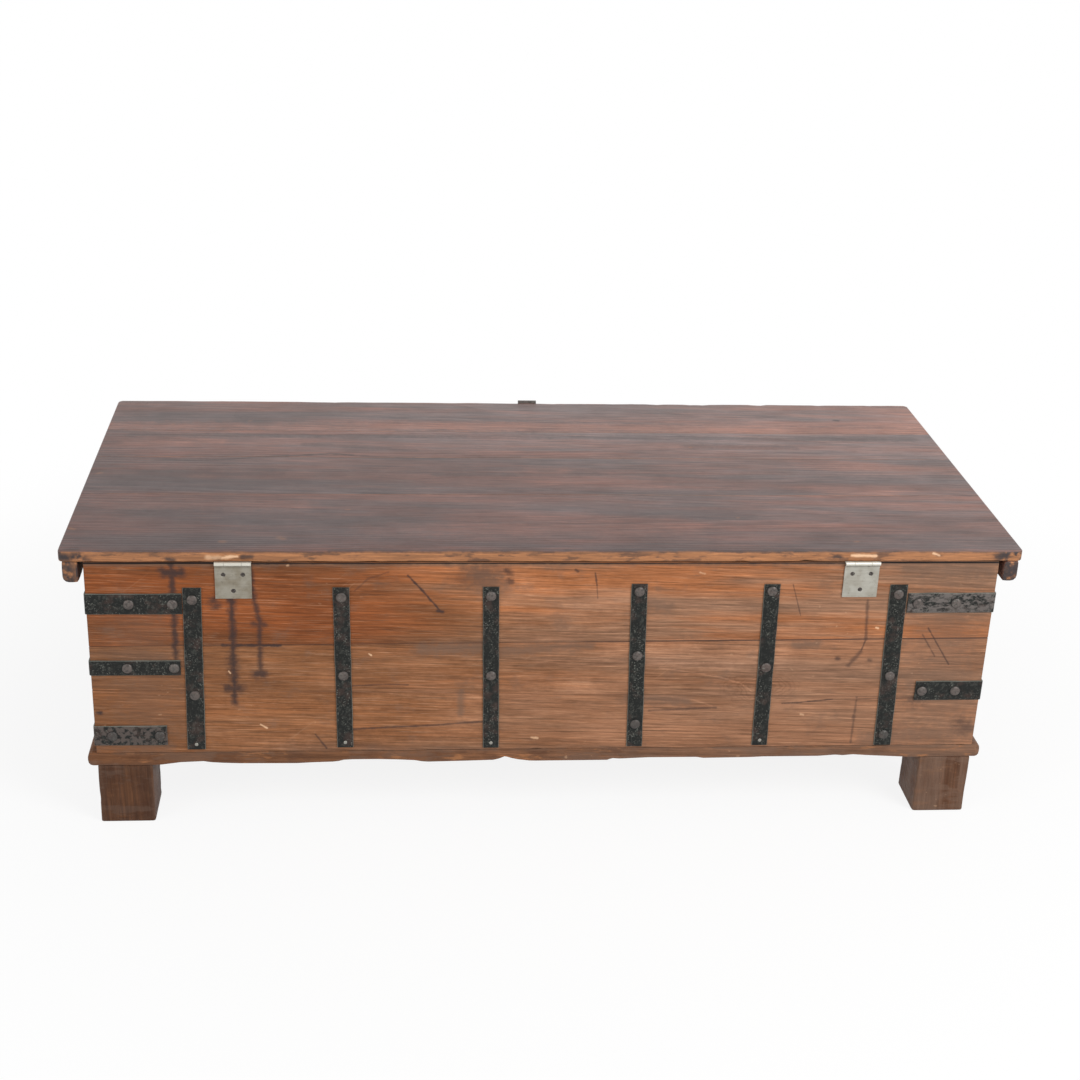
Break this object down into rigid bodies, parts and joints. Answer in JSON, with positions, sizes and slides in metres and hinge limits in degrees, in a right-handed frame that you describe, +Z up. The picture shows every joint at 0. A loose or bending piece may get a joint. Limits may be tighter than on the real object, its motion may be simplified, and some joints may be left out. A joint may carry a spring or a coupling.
{
  "type": "chest",
  "caption": "Low wooden storage trunk on block feet with iron straps, wrap-round corner bands, a plank lid on butt hinges and a hasp with a staple for a padlock.",
  "frame": {"origin": "on the floor plane, below the middle of the whole part's box, lid closed", "axes": "+X along the chest, to the right as seen from the hinge side; +Y from the hinge side, which is the side in the picture, to the hasp side; +Z up"},
  "size_m": [1.32, 0.6457, 0.4237],
  "materials": {
    "lid_wood": "worn dark stain",
    "body_wood": "aged and stained",
    "foot_wood": "dark and worn",
    "black_iron": "worn black paint",
    "rivet_iron": "hammered",
    "hinge_steel": "dull galvanised"
  },
  "bodies": {
    "chest": {"back_board_bottom": "body_wood", "back_board_middle": "body_wood", "back_board_top": "body_wood", "front_board_bottom": "body_wood", "front_board_middle": "body_wood", "front_board_top": "body_wood", "left_end_board_bottom": "body_wood", "left_end_board_top": "body_wood", "right_end_board_bottom": "body_wood", "right_end_board_top": "body_wood", "floor_board_back": "body_wood", "floor_board_middle": "body_wood", "floor_board_front": "body_wood", "foot_back_left": "foot_wood", "foot_back_right": "foot_wood", "foot_front_left": "foot_wood", "foot_front_right": "foot_wood", "back_strap_1": "black_iron", "back_strap_2": "black_iron", "back_strap_3": "black_iron", "back_strap_4": "black_iron", "back_strap_5": "black_iron", "back_strap_6": "black_iron", "front_strap_1": "black_iron", "front_strap_2": "black_iron", "front_strap_3": "black_iron", "front_strap_4": "black_iron", "front_strap_5": "black_iron", "front_strap_6": "black_iron", "end_band_left_top": "black_iron", "end_band_left_middle": "black_iron", "end_band_left_bottom": "black_iron", "end_band_right_top": "black_iron", "end_band_right_low": "black_iron", "rivets_back": "rivet_iron", "rivets_front": "rivet_iron", "rivets_ends": "rivet_iron", "strap_nails": "rivet_iron", "foot_spikes": "rivet_iron", "box_hinge_leaf_left": "hinge_steel", "box_hinge_leaf_right": "hinge_steel", "hinge_pins": "hinge_steel", "box_hinge_screws": "hinge_steel", "hasp_staple": "black_iron"},
    "lid": {"lid_plank_1": "lid_wood", "lid_plank_2": "lid_wood", "lid_plank_3": "lid_wood", "lid_plank_4": "lid_wood", "lid_cleat_left": "lid_wood", "lid_cleat_right": "lid_wood", "lid_batten_left": "lid_wood", "lid_batten_right": "lid_wood", "lid_nails": "rivet_iron", "lid_hinge_leaf_left": "hinge_steel", "lid_hinge_leaf_right": "hinge_steel", "lid_hinge_screws": "hinge_steel", "hasp_leaf": "black_iron", "hasp_pin": "black_iron", "hasp_leaf_screws": "black_iron"},
    "hasp": {"hasp_strap": "black_iron"}
  },
  "joints": [
    {"name": "lid_hinge", "type": "hinge", "parent": "chest", "child": "lid", "pos_m": [0, -0.3208, 0.4032], "axis": [1, 0, 0], "range_deg": [0, 105]},
    {"name": "hasp_hinge", "type": "hinge", "parent": "lid", "child": "hasp", "pos_m": [0.011, 0.2958, 0.4205], "axis": [1, 0, 0], "range_deg": [-18.5, 212]}
  ]
}
